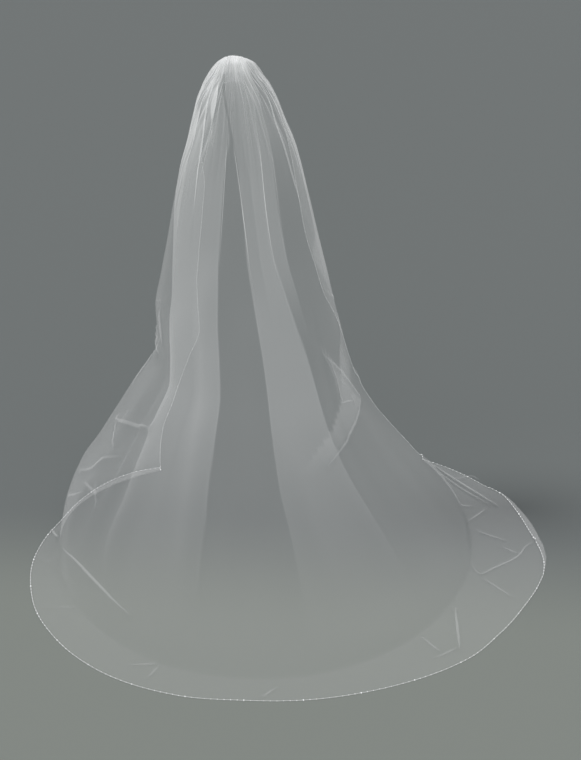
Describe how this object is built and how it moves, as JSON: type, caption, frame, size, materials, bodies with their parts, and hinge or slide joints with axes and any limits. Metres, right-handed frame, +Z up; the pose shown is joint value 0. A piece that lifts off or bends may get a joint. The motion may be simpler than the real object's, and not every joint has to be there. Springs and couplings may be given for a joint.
{
  "type": "bridal veil on a hair comb",
  "caption": "Long worn bridal veil: a fine net panel gathered on a hair comb, open at the front, with a beaded cut edge and a train that spreads over the floor.",
  "frame": {"origin": "where the comb's spine sits in the hair on the crown, 1.705 m above the floor that the train lies on", "axes": "+Z up, +Y the way the wearer faces, so the train runs out along -Y; +X to the wearer's right"},
  "size_m": [1.9419, 1.7451, 1.7717],
  "materials": {
    "tulle": "fine soft nylon net, see-through, slight sheen",
    "beads": "small clear and silver-lined beads",
    "comb": "clear moulded plastic"
  },
  "bodies": {
    "root": {"tulle_panel": "tulle", "bead_edging": "beads", "comb": "comb"}
  },
  "joints": []
}
